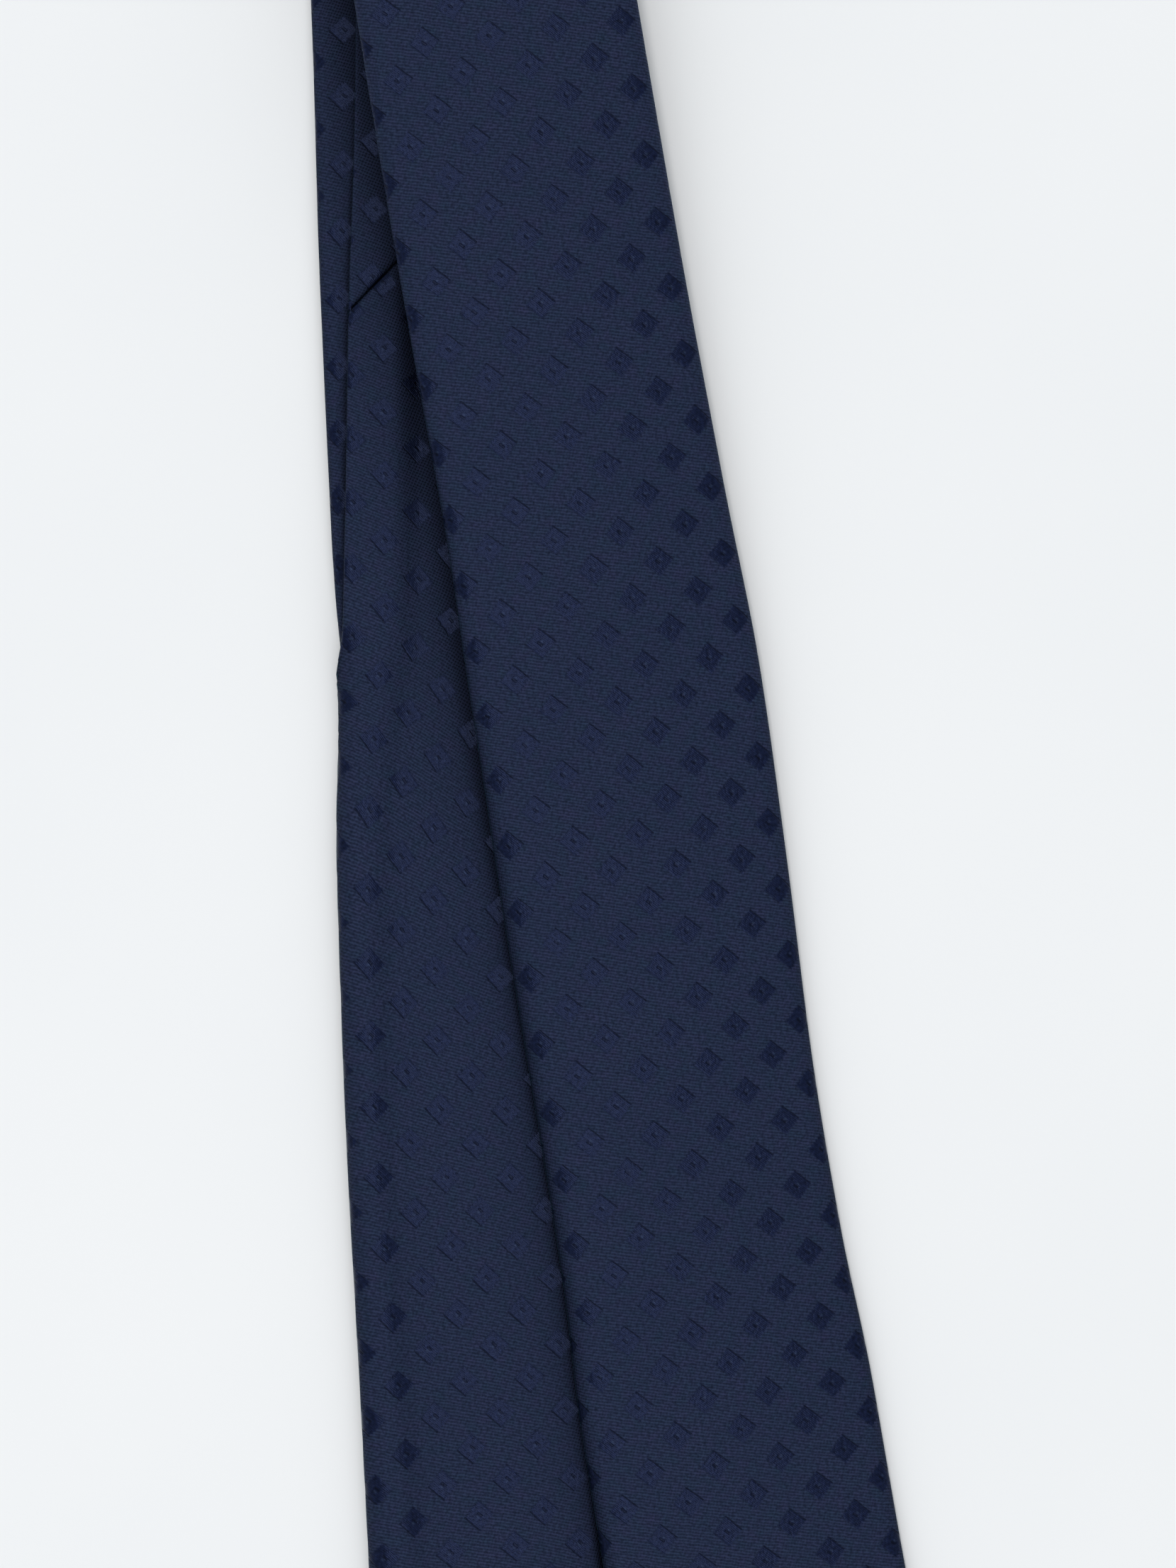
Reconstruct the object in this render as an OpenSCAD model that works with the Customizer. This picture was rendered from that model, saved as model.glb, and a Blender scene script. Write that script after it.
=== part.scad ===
// A gentleman's necktie, laid flat and folded once at the neck, with the wide blade on top of
// the narrow tail. Millimetres. +Z is up, +Y points to the neck fold, and the origin is on the
// surface that the tie lies on, under the middle of its outline.
//
// Each half of the tie is a flattened tube of cloth, closed by a seam on its back. A strip is
// drawn lying on its front: X runs across it, -Y runs from the neck fold to its point, and
// Z runs from the front face (0) to the back face (strip_t).

/* [Lengths] */
// Neck fold to the point of the wide blade
blade_len = 790; // [760:5:820]
// Neck fold to the point of the narrow tail
tail_len = 690; // [670:5:710]
// Neck fold to the line where the end of the blade folds up
blade_hinge = 545; // [520:5:560]
// Neck fold to the line where the end of the tail folds up
tail_hinge = 560; // [540:5:570]

/* [Widths] */
// Width of both halves at the neck fold
neck_w = 44; // [40:0.5:46]
// Blade width 120 mm from the fold
blade_top_w = 47.5; // [45:0.5:50]
// Blade width 400 mm from the fold
blade_mid_w = 52.4; // [50:0.2:56]
// Blade width at the shoulders of its point
blade_w = 70; // [64:1:76]
// Tail width 150 mm from the fold
tail_top_w = 40; // [36:0.5:42]
// Tail width 400 mm from the fold
tail_mid_w = 41; // [38:0.5:42]
// Tail width at the shoulders of its point
tail_w = 44; // [40:0.5:46]

/* [Fold] */
// Radius inside the neck fold
fold_r = 5.5; // [4:0.5:7]
// Angle of each half away from the middle line
lean = 3.35; // [3:0.05:4]
// Part of the bend, in degrees, left out so that the blade can swing up
fold_relief = 15; // [14:1:20]

/* [Cloth] */
// Thickness of the tie cloth
cloth_t = 0.45; // [0.35:0.05:0.5]
// Thickness of the wool interlining
core_t = 1.4; // [1.2:0.1:1.6]
// Thickness of the tipping, the lining that shows inside each point
lining_t = 0.25; // [0.2:0.05:0.3]
// Thickness of the woven label and of the care tag
label_t = 0.25; // [0.2:0.05:0.3]
// Thread of the hand and bar-tack stitches
thread_d = 0.3; // [0.25:0.05:0.35]

/* [Seams] */
// Overlap of the flaps under the back seam
lap = 8; // [6:1:10]
// Where the bias seam from neck to tail crosses the middle of the tail half
neck_tail_seam = 162; // [150:2:180]
// Where the bias seam from neck to blade crosses the middle of the blade half
neck_blade_seam = 85; // [70:1:100]
// Length of a slip stitch
stitch_l = 6; // [4:1:8]
// Distance from one slip stitch to the next
stitch_pitch = 10; // [9:1:14]

/* [Back of the points] */
// Bar tack to point on the blade
blade_tack = 78; // [70:1:84]
// Bar tack to point on the tail
tail_tack = 52; // [48:1:56]
// Width of the folded hem along a point
hem = 8; // [6:1:10]
// Keeper loop: distance of its middle from the blade's point
keeper_up = 205; // [190:5:215]
// Keeper loop: length across the blade
keeper_l = 52; // [50:1:54]
// Keeper loop: width along the blade
keeper_w = 12; // [10:1:14]
// Label: length across the blade
label_l = 34; // [28:1:38]
// Label: width along the blade
label_w = 22; // [18:1:26]
// Care tag: distance of its sewn edge past the tail's folding line
tag_down = 50; // [46:1:52]
// Care tag: length along the tail
tag_l = 22; // [16:1:22]
// Care tag: width across the tail
tag_w = 16; // [12:1:18]
// Care tag: offset of its middle from the middle of the tail
tag_x = 6; // [0:1:8]

/* [Hidden] */

$fn = 24;
gap = 0.05;                                     // between layers of one body
joint_gap = 0.4;                                // between bodies
seam_gap = 0.6;                                 // along every sewn join
strip_t = 3 * cloth_t + core_t + 3 * gap;       // front, core, underlap and back flap
wall = 0.9;                                     // cloth rolled round a long edge
reach = 60;                                     // wider than half of any strip
lead = 5;                                       // drawn past the fold, then cut away
diag = sqrt(2);

// Keeper loop: passage for the tail, then the strap itself
keeper_room = 0.35;
keeper_t = 0.6;
keeper_pad = 4;
rise = keeper_room + keeper_t;                  // the blade's end lies on its keeper

// A half is its widths at distances from the fold, then its length
blade_half = [[[-lead, neck_w], [0, neck_w], [120, blade_top_w], [400, blade_mid_w],
    [blade_len - blade_w / 2, blade_w]], blade_len];
tail_half = [[[-lead, neck_w], [0, neck_w], [150, tail_top_w], [400, tail_mid_w],
    [tail_len - tail_w / 2, tail_w]], tail_len];

// Back seams, as distance from the fold and offset from the middle. The tail's tube is
// rolled, so its seam drifts to the left edge, hides under it and comes back near the point.
tail_seam_top = [[-lead, 0], [212, 3 - tail_top_w / 2]];
tail_seam_end = [[tail_hinge + 4, -5], [tail_len - tail_tack - 14, 0], [tail_len - tail_tack, 0]];
blade_seam = [[-lead, 0], [blade_len - blade_tack, 0]];

// Place of the neck fold, so that the tie's outline is centred on the origin
blade_right = (blade_len - blade_w / 2) * sin(lean) + blade_w / 2 * cos(lean);
tail_left = (tail_len - tail_w / 2) * sin(lean) + tail_w / 2 * cos(lean);
fold_x = (tail_left - blade_right) / 2;
fold_y = (blade_len * cos(lean) - fold_r - strip_t) / 2;
fold_top = 2 * (fold_r + strip_t);

// The blade slopes from the top of the fold to its own end, which lies flat
blade_drop = fold_top - strip_t - rise;
blade_slope = asin(blade_drop / (blade_hinge * cos(lean)));
blade_shift = blade_hinge * cos(lean) * (1 - cos(blade_slope));

// Colours
navy = [0.10, 0.12, 0.22];
core_white = [0.86, 0.84, 0.78];
lining_navy = [0.07, 0.09, 0.17];
thread_navy = [0.13, 0.16, 0.30];
label_navy = [0.16, 0.19, 0.33];
tag_white = [0.90, 0.90, 0.88];

// Half the width of a strip at distance d from the fold, drawn in by e along every edge
function half_w(half, d, e) =
    min(lookup(d, half[0]) / 2 - e, half[1] - d - e * diag);

// Distances at which the outline of a strip turns
function turns(half, e) = [for (s = half[0]) if (s[0] < half[1] - half_end(half)) s[0]];
function half_end(half) = half[0][len(half[0]) - 1][1] / 2;
function shoulder(half, e) = half[1] - half_end(half) - (diag - 1) * e;

function outline(half, e) =
    let (ds = concat(turns(half, e), [shoulder(half, e)]))
    concat([for (d = ds) [half_w(half, d, e), -d]], [[0, e * diag - half[1]]],
        [for (i = [len(ds) - 1:-1:0]) [-half_w(half, ds[i], e), -ds[i]]]);

module slab(points, z0, z1) {
    translate([0, 0, z0]) linear_extrude(z1 - z0) polygon(points);
}

// Everything of a strip between two lines across it. A line crosses the middle of the strip
// at the given distance from the fold, and climbs by slope for each millimetre of X.
module between(d0, slope0, d1, slope1) {
    ends = [[-reach, -d0 - slope0 * reach], [reach, -d0 + slope0 * reach],
        [reach, -d1 + slope1 * reach], [-reach, -d1 - slope1 * reach]];
    intersection() {
        slab(ends, -strip_t, 2 * strip_t);
        children();
    }
}

// A band beside a back seam, from x0 to x1 off the seam's line
function band(seam, x0, x1) = concat([for (p = seam) [p[1] + x1, -p[0]]],
    [for (i = [len(seam) - 1:-1:0]) [seam[i][1] + x0, -seam[i][0]]]);

// The diamond on the back of a point, where the flaps part and the tipping shows
function diamond(half, tack, grow) =
    let (side = half_end(half) - hem + grow, low = half[1] - hem * diag + grow)
    [[0, -half[1] + tack + grow], [side, -low + side], [0, -low], [-side, -low + side]];

// The cloth of one whole half: front, rolled edges and two flaps that overlap on the back
module half_shell(half, seams, tack) {
    back = strip_t - cloth_t;
    under = back - gap - cloth_t;
    ties = 1.5;
    difference() {
        slab(outline(half, 0), 0, strip_t);
        slab(outline([concat([[-2 * lead, neck_w]], half[0]), half[1]], wall), cloth_t, back);
        for (seam = seams) slab(band(seam, 0, seam_gap), back - gap, strip_t + gap);
        slab(diamond(half, tack + 2, 0), back - gap, strip_t + gap);
    }
    between(-lead, 0, half[1] - tack - hem, 0) for (seam = seams) {
        slab(band(seam, -ties, lap), under, under + cloth_t);
        slab(band(seam, -ties, -ties / 2), under, back);
    }
}

module half_core(half) {
    slab(outline(half, wall + 3 * gap), cloth_t + gap, cloth_t + gap + core_t);
}

module half_tipping(half, tack) {
    top = strip_t - cloth_t - gap;
    slab(diamond(half, tack, hem / 2), top - lining_t, top);
}

// A row of slip stitches lying in a back seam, between two distances from the fold
module slip_stitches(seam, d0, d1) {
    for (d = [d0:stitch_pitch:d1 - stitch_l]) {
        start = [lookup(d, seam) + seam_gap / 2, -d];
        end = [lookup(d + stitch_l, seam) + seam_gap / 2, -d - stitch_l];
        run = end - start;
        translate([start[0], start[1], strip_t - cloth_t / 2]) rotate([0, 0, atan2(run[1], run[0])])
            rotate([0, 90, 0]) cylinder(d = thread_d, h = norm(run));
    }
}

// Stitches of a bias seam, in the join on the front and on the back of the strip
module bias_stitches(half, d) {
    pitch = 3;
    long = 2;
    count = floor((lookup(d, half[0]) - 2 * pitch) / 2 / (pitch / diag));
    for (z = [cloth_t / 2, strip_t - cloth_t / 2], i = [-count:1:count - 1])
        if (z < strip_t / 2 || abs(i) > 1)
            translate([i * pitch / diag, i * pitch / diag - d, z]) rotate([0, 0, 45])
                rotate([0, 90, 0]) cylinder(d = thread_d, h = long);
}

// A bar tack: a close row of short threads across the seam, on the back of the strip
module bar_tack(half, tack) {
    across = 7;
    for (row = [0:3])
        translate([-across / 2, tack - half[1] + 1.5 + row * 1.1 * thread_d, strip_t + thread_d / 2])
            rotate([0, 90, 0]) cylinder(d = thread_d, h = across);
}

// Short stitches side by side along a line that runs across or along the strip
module edge_stitches(x, y, count, pitch, along) {
    long = 1.4;
    for (i = [0:count - 1]) {
        step = (i - (count - 1) / 2) * pitch;
        translate([x + (along ? 0 : step), y + (along ? step : 0), strip_t + 0.2])
            rotate([0, 0, along ? 0 : 90]) rotate([0, 90, 0])
                cylinder(d = thread_d, h = long, center = true);
    }
}

// Places of the two halves. The tail lies on its front; the blade lies on its back, first
// sloping down from the fold and then, past its hinge, flat on its keeper.
module on_tail() {
    translate([fold_x, fold_y, 0]) rotate([0, 0, -lean]) children();
}

module on_blade() {
    translate([fold_x, fold_y, fold_top]) rotate([blade_slope, 0, 0]) rotate([0, 0, lean])
        mirror([0, 0, 1]) children();
}

module on_blade_end() {
    translate([fold_x, fold_y + blade_shift, rise + strip_t]) rotate([0, 0, lean])
        mirror([0, 0, 1]) children();
}

tail_start = tan(lean);                         // the fold line, seen from the tail
blade_start = -tan(lean);                       // the fold line, seen from the blade

module tail_cloth() { half_shell(tail_half, [tail_seam_top, tail_seam_end], tail_tack); }
module blade_cloth() { half_shell(blade_half, [blade_seam], blade_tack); }

module neck_shell_tail_side() {
    color(navy) on_tail() between(0, tail_start, neck_tail_seam - seam_gap / diag, 1) tail_cloth();
}

module tail_shell_upper() {
    color(navy) on_tail()
        between(neck_tail_seam + seam_gap / diag, 1, tail_hinge - joint_gap / 2, 0) tail_cloth();
}

module tail_shell_lower() {
    color(navy) on_tail() between(tail_hinge + joint_gap / 2, 0, tail_len + lead, 0) tail_cloth();
}

module neck_shell_blade_side() {
    color(navy) on_blade()
        between(joint_gap, blade_start, neck_blade_seam - seam_gap / diag, 1) blade_cloth();
}

module blade_shell_upper() {
    color(navy) on_blade()
        between(neck_blade_seam + seam_gap / diag, 1, blade_hinge - joint_gap / 2, 0) blade_cloth();
}

module blade_shell_lower() {
    color(navy) on_blade_end()
        between(blade_hinge + joint_gap / 2, 0, blade_len + lead, 0) blade_cloth();
}

// The bend at the neck: part of a half circle about X, open at its top by the relief angle
module neck_bend(x_half, inner, outer) {
    translate([fold_x - x_half, fold_y, fold_r + strip_t]) rotate([90, 0, 90])
        rotate_extrude(angle = 180 - fold_relief, start = -90, $fn = 96)
            translate([inner, 0]) square([outer - inner, 2 * x_half]);
}

module neck_shell_fold() {
    color(navy) difference() {
        neck_bend(neck_w / 2, fold_r, fold_r + strip_t);
        neck_bend(neck_w / 2 - wall, fold_r + cloth_t, fold_r + strip_t - cloth_t);
    }
}

module neck_interlining_fold() {
    outer = fold_r + strip_t - cloth_t - gap;
    color(core_white) neck_bend(neck_w / 2 - wall - 3 * gap, outer - core_t, outer);
}

module tail_interlining_upper() {
    color(core_white) on_tail()
        between(0, tail_start, tail_hinge - joint_gap / 2, 0) half_core(tail_half);
}

module tail_interlining_lower() {
    color(core_white) on_tail()
        between(tail_hinge + joint_gap / 2, 0, tail_len, 0) half_core(tail_half);
}

module blade_interlining_upper() {
    color(core_white) on_blade()
        between(joint_gap, blade_start, blade_hinge - joint_gap / 2, 0) half_core(blade_half);
}

module blade_interlining_lower() {
    color(core_white) on_blade_end()
        between(blade_hinge + joint_gap / 2, 0, blade_len, 0) half_core(blade_half);
}

module tail_tipping() { color(lining_navy) on_tail() half_tipping(tail_half, tail_tack); }

module blade_tipping() { color(lining_navy) on_blade_end() half_tipping(blade_half, blade_tack); }

module tail_slip_stitches() {
    color(thread_navy) on_tail() slip_stitches(tail_seam_top, 6, 210);
}

module tail_end_slip_stitches() {
    color(thread_navy) on_tail() slip_stitches(tail_seam_end, tail_hinge + 6, tail_len - tail_tack - 4);
}

module blade_slip_stitches() {
    color(thread_navy) on_blade() slip_stitches(blade_seam, 6, blade_hinge - 4);
}

module blade_end_slip_stitches() {
    color(thread_navy) on_blade_end()
        slip_stitches(blade_seam, blade_hinge + 6, blade_len - blade_tack - 4);
}

module neck_tail_seam_stitches() {
    color(thread_navy) on_tail() bias_stitches(tail_half, neck_tail_seam);
}

module neck_blade_seam_stitches() {
    color(thread_navy) on_blade() bias_stitches(blade_half, neck_blade_seam);
}

module tail_bar_tack() { color(thread_navy) on_tail() bar_tack(tail_half, tail_tack); }

module blade_bar_tack() { color(thread_navy) on_blade_end() bar_tack(blade_half, blade_tack); }

keeper_y = keeper_up - blade_len;
label_y = keeper_y - keeper_w / 2 - 14 - label_w / 2;

// A strap across the back of the blade, held off it by the turned-under ends
module keeper_loop() {
    color(navy) on_blade_end() {
        translate([-keeper_l / 2, keeper_y - keeper_w / 2, strip_t + keeper_room])
            cube([keeper_l, keeper_w, keeper_t]);
        for (x = [-keeper_l / 2, keeper_l / 2 - keeper_pad])
            translate([x, keeper_y - keeper_w / 2, strip_t]) cube([keeper_pad, keeper_w, keeper_room]);
    }
}

module keeper_stitches() {
    color(thread_navy) on_blade_end() for (side = [-1, 1])
        edge_stitches(side * (keeper_l / 2 + 0.8), keeper_y, 6, 1.8, true);
}

// A blank woven label, sewn down along its two short edges
module label() {
    color(label_navy) on_blade_end()
        translate([-label_l / 2, label_y - label_w / 2, strip_t + gap]) cube([label_l, label_w, label_t]);
}

module label_stitches() {
    color(thread_navy) on_blade_end() for (side = [-1, 1])
        edge_stitches(side * (label_l / 2 + 0.8), label_y, 10, 2, true);
}

// A blank care tag, sewn to the back of the tail by its upper edge, about which it lifts
tag_y = -tail_hinge - tag_down;

module care_tag() {
    color(tag_white) on_tail()
        translate([tag_x - tag_w / 2, tag_y - tag_l, strip_t + joint_gap]) cube([tag_w, tag_l, label_t]);
}

module care_tag_stitches() {
    color(thread_navy) on_tail() edge_stitches(tag_x, tag_y + 1, 7, 2, false);
}

neck_shell_tail_side();
neck_shell_fold();
neck_shell_blade_side();
tail_shell_upper();
tail_shell_lower();
blade_shell_upper();
blade_shell_lower();
tail_interlining_upper();
tail_interlining_lower();
neck_interlining_fold();
blade_interlining_upper();
blade_interlining_lower();
tail_tipping();
blade_tipping();
tail_slip_stitches();
tail_end_slip_stitches();
blade_slip_stitches();
blade_end_slip_stitches();
neck_tail_seam_stitches();
neck_blade_seam_stitches();
tail_bar_tack();
blade_bar_tack();
keeper_loop();
keeper_stitches();
label();
label_stitches();
care_tag();
care_tag_stitches();
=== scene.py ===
import math

import bpy
import numpy as np
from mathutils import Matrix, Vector


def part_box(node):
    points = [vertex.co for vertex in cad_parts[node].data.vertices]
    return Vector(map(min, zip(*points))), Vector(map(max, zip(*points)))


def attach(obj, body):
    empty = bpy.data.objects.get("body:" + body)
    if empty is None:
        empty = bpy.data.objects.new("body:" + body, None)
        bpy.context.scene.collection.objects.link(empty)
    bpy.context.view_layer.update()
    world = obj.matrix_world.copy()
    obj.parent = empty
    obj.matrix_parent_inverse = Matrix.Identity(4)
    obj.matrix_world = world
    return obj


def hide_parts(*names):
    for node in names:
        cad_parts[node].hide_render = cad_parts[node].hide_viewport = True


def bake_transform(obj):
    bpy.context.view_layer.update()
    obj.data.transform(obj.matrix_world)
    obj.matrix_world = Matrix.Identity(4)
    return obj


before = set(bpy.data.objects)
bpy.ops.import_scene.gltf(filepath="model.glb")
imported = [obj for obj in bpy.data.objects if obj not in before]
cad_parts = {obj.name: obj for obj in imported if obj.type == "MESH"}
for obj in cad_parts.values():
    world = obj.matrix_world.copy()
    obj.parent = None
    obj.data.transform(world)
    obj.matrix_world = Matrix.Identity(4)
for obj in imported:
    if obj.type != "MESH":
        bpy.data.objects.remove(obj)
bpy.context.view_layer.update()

# A navy jacquard silk necktie, folded once at the neck and laid flat, wide blade on top.
# Geometry is worked out in millimetres and written to the meshes in metres.
#
# v runs along the whole tie: below 0 on the tail, 0 to BEND round the neck fold, then down
# the blade. u runs across the cut cloth, 0 down the middle of its front. Cloth is woven in
# (u, v), so its grain and pattern follow wherever the cloth is folded or rolled.
MM = 0.001
BLADE_LEN = 790                  # neck fold to point
TAIL_LEN = 690
BLADE_SHOULDER = 755             # neck fold to where the point starts
TAIL_SHOULDER = 668
BLADE_HINGE = 545                # neck fold to the line where the blade can fold
TAIL_HINGE = 560
LEAN = math.radians(3.35)        # each half's slant away from the middle line
THICK = 2.9                      # a strip, pressed flat
EDGE_ROLL = 2.6                  # width of a strip's rolled edge
FOLD_R = 5.5 + THICK / 2         # middle of the strip at the neck fold
BEND = math.pi * FOLD_R
BLADE_TACK = 78                  # bar tack to point
TAIL_TACK = 52
KEEPER_UP = 205                  # keeper to point
HEM = 8
OVERLAP = 8                      # of the two flaps on the back
CLOTH = 0.22                     # one layer of silk
LAYER = 0.48                     # from one layer of silk to the next
TIP_HALF_W = 0.6                 # the points end at this half width

bend_low, bend_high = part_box("neck_shell_fold")
FOLD_X = (bend_low[0] + bend_high[0]) / 2 / MM
FOLD_Y = bend_low[1] / MM
REST_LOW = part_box("blade_shell_lower")[0][2] / MM     # the blade's end lies on its keeper


# ---------------------------------------------------------------- numbers along the tie

def through(*points):
    """A smooth curve through (x, y) points that never overshoots them."""
    x, y = np.array(points, float).T
    slope = np.diff(y) / np.diff(x)
    middle = np.where(slope[1:] * slope[:-1] > 0,
                      2 * slope[1:] * slope[:-1] / (slope[1:] + slope[:-1] + 1e-12), 0)
    tangent = np.concatenate([slope[:1], middle, slope[-1:]])

    def value(at):
        at = np.clip(np.asarray(at, float), x[0], x[-1])
        i = np.clip(np.searchsorted(x, at, side="right") - 1, 0, len(x) - 2)
        h = x[i + 1] - x[i]
        t = (at - x[i]) / h
        return ((1 + 2 * t) * (1 - t) ** 2 * y[i] + t * (1 - t) ** 2 * h * tangent[i]
                + t ** 2 * (3 - 2 * t) * y[i + 1] + t ** 2 * (t - 1) * h * tangent[i + 1])
    return value


def smoothstep(low, high, x):
    t = np.clip((np.asarray(x, float) - low) / (high - low), 0, 1)
    return t * t * (3 - 2 * t)


# Half widths at distances from the fold, up to the shoulders of each point
blade_half_w = through((0, 22), (60, 23.3), (120, 24.2), (150, 24.4), (212, 24.7), (245, 25.5),
                       (275, 25.4), (325, 24.7), (345, 24.9), (372, 26), (400, 26.2), (560, 29.8),
                       (BLADE_SHOULDER, 35))
tail_half_w = through((0, 22), (60, 20.6), (120, 19.7), (260, 20.1), (400, 20.5),
                      (TAIL_SHOULDER, 22))

# How each half wanders off its straight line, to the right when positive
blade_bow = through((0, 0), (130, -0.1), (170, 0.1), (220, 1), (245, 1.2), (280, 0.5), (320, -0.2),
                    (400, -0.1), (BLADE_HINGE, 0), (BLADE_LEN, 0))
tail_bow = through((0, 0), (60, 1), (120, 1.5), (170, 0.8), (220, 0.9), (237, 1.8), (244, 2.1),
                   (252, 1.7), (268, 0.5), (320, 0), (370, 0.5), (430, 0.8), (TAIL_HINGE, 0),
                   (TAIL_LEN, 0))

# Undersides of the blade at its left and right edges: high at the fold, then on the tail,
# then beside it on the table
blade_left_up = through((0, 13.9), (60, 11.9), (125, 9.2), (200, 6.8), (235, 5.9), (275, 4.2),
                        (310, 3.6), (385, 3.4), (450, 1.7), (BLADE_HINGE, REST_LOW),
                        (BLADE_LEN, REST_LOW))
blade_right_up = through((0, 13.9), (60, 12.1), (125, 9.3), (200, 5.4), (290, 2.1), (385, 1.05),
                         (450, 0.9), (BLADE_HINGE, REST_LOW), (BLADE_LEN, REST_LOW))

# The tail's tube is rolled: how far its back seam has moved to the left, round the tube
tail_roll = through((0, 0), (120, 11), (150, 12.5), (176, 14.4), (214, 16.9), (230, 18.4),
                    (240, 20.9), (260, 22.8), (320, 24.6), (440, 21), (540, 9), (610, 0),
                    (TAIL_LEN, 0))


def widths(v):
    """Half width of the tie at v, with the square-cornered point at each end."""
    tail = np.minimum(tail_half_w(-v), TAIL_LEN + v)
    blade = np.minimum(blade_half_w(v - BEND), BLADE_LEN - (v - BEND))
    return np.where(v < BEND / 2, tail, blade)


def spine(v):
    """Middle of the strip, the way across it and the way out of its back, for each v."""
    d_tail, d_blade = -v, v - BEND
    left, right = blade_left_up(d_blade), blade_right_up(d_blade)
    width = 2 * blade_half_w(d_blade)
    turn = np.clip(v / BEND, 0, 1) * math.pi
    heading = np.interp(v, [-1, 0, BEND, BEND + 1], [-LEAN, 0, 0, LEAN])
    on_tail, on_blade = v < 0, v > BEND
    where = [on_tail, on_blade]
    centre = np.stack([
        FOLD_X + np.select(where, [-d_tail * math.sin(LEAN) + tail_bow(d_tail),
                                   d_blade * math.sin(LEAN) + blade_bow(d_blade)], 0),
        FOLD_Y + np.select(where, [-d_tail * math.cos(LEAN), -d_blade * math.cos(LEAN)],
                           FOLD_R * np.sin(turn)),
        THICK / 2 + np.select(where, [0 * v, (left + right) / 2], FOLD_R * (1 - np.cos(turn))),
    ], axis=1)
    roll = np.where(on_blade, (left - right) / width, 0)
    across = np.stack([np.cos(heading), np.sin(heading), -roll], axis=1)
    spread, reach = 6.0, 18          # of the smoothing, in millimetres along the tie
    weights = np.exp(-0.5 * (np.arange(-reach, reach + 1) / spread) ** 2)
    weights /= weights.sum()

    def soften(rows):
        padded = np.pad(rows, ((reach, reach), (0, 0)), mode="reflect", reflect_type="odd")
        return np.stack([np.convolve(column, weights, "valid") for column in padded.T], axis=1)
    centre, across = soften(centre), soften(across)
    along = np.gradient(centre, axis=0)
    along /= np.linalg.norm(along, axis=1)[:, None]
    back = np.cross(across, along)
    back /= np.linalg.norm(back, axis=1)[:, None]
    across = np.cross(along, back)
    return centre, across, back


V = np.arange(-TAIL_LEN, BEND + BLADE_LEN + 0.5, 1.0)
CENTRE, ACROSS, BACK = spine(V)
HALF_W = widths(V)


# ---------------------------------------------------------------- the cross-section

BACK_SWELL, FRONT_SWELL = 0.7, 0.9    # of the tail's back and the blade's front, which face up
HANG, PRESS = 0.95, 1.1          # how far the blade's right side and left edge are lowered


def crowns(v):
    """How far the back and the front face swell in the middle. The face that lies on the
    table stays flat."""
    on_blade = smoothstep(-10, BEND + 10, v)
    return BACK_SWELL * (1 - on_blade) * smoothstep(-600, -520, v), FRONT_SWELL * on_blade


def droop(v, x, half):
    """How far the cloth is lowered: the blade hangs down past the tail's edge on its right,
    and its left edge is pressed onto the tail."""
    d = v - BEND
    hang = HANG * smoothstep(60, 170, d) * (1 - smoothstep(380, 460, d))
    press = PRESS * smoothstep(200, 290, d) * (1 - smoothstep(400, 470, d))
    to_right, to_left = (x / half + 0.15) / 1.15, (-x / half - 0.78) / 0.22
    return hang * np.clip(to_right, 0, 1) ** 2 + press * np.clip(to_left, 0, 1) ** 2


def tube(half, v, size=420):
    """Outline of the pressed tube, from the middle of its back round to the left. Returns
    x, z, the outward normals and the distance round it."""
    r, soft = THICK / 2 * min(1, 0.12 + half / 7), min(EDGE_ROLL, half * 0.55)
    flat = half - soft
    corner = math.pi * r
    left, left_end = flat, flat + corner
    right, right_end = 3 * flat + corner, 3 * flat + 2 * corner
    s = np.linspace(0, 4 * flat + 2 * corner, size)
    turn_left, turn_right = (s - left) / r, (s - right) / r
    where = [s < left, s < left_end, s < right, s < right_end]
    x = np.select(where, [-s, -flat - soft * np.sin(turn_left), s - left_end - flat,
                          flat + soft * np.sin(turn_right)], flat - (s - right_end))
    z = np.select(where, [r, r * np.cos(turn_left), -r, -r * np.cos(turn_right)], r)
    swell_back, swell_front = crowns(v)
    crown = np.maximum(0, 1 - (x / half) ** 2) ** 0.8
    swell = np.where(z > 0, swell_back, -swell_front) * crown
    z = z + swell * np.minimum(np.abs(z) / r, 1) * min(1, half / 12)
    z = z + droop(v, x, half) + (THICK / 2 - r) * (1 if v > 0 else -1)     # the tips lie low
    step_x, step_z = np.gradient(x), np.gradient(z)
    length = np.hypot(step_x, step_z)
    distance = np.concatenate([[0], np.cumsum(np.hypot(np.diff(x), np.diff(z)))])
    return x, z, step_z / length, -step_x / length, distance


def flap_ends(v):
    """Where the left flap and the right flap end on the back, as x. The right flap lies over
    the left one, and past the bar tack both part round the diamond of the tipping."""
    on_blade = v > BEND / 2
    length = np.where(on_blade, BLADE_LEN, TAIL_LEN)
    tack = np.where(on_blade, BLADE_TACK, TAIL_TACK)
    widest = np.where(on_blade, blade_half_w(BLADE_SHOULDER), tail_half_w(TAIL_SHOULDER))
    d = np.where(on_blade, v - BEND, -v)
    past = d - (length - tack)
    side = widest - HEM
    upper_run = tack - widest - HEM * (math.sqrt(2) - 1)
    upper = side * past / upper_run
    lower = length - d - HEM * math.sqrt(2)
    part = np.clip(np.minimum(upper, lower), 0, None)
    under = OVERLAP * (1 - smoothstep(-10, 0, past))
    return under - part, part


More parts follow.
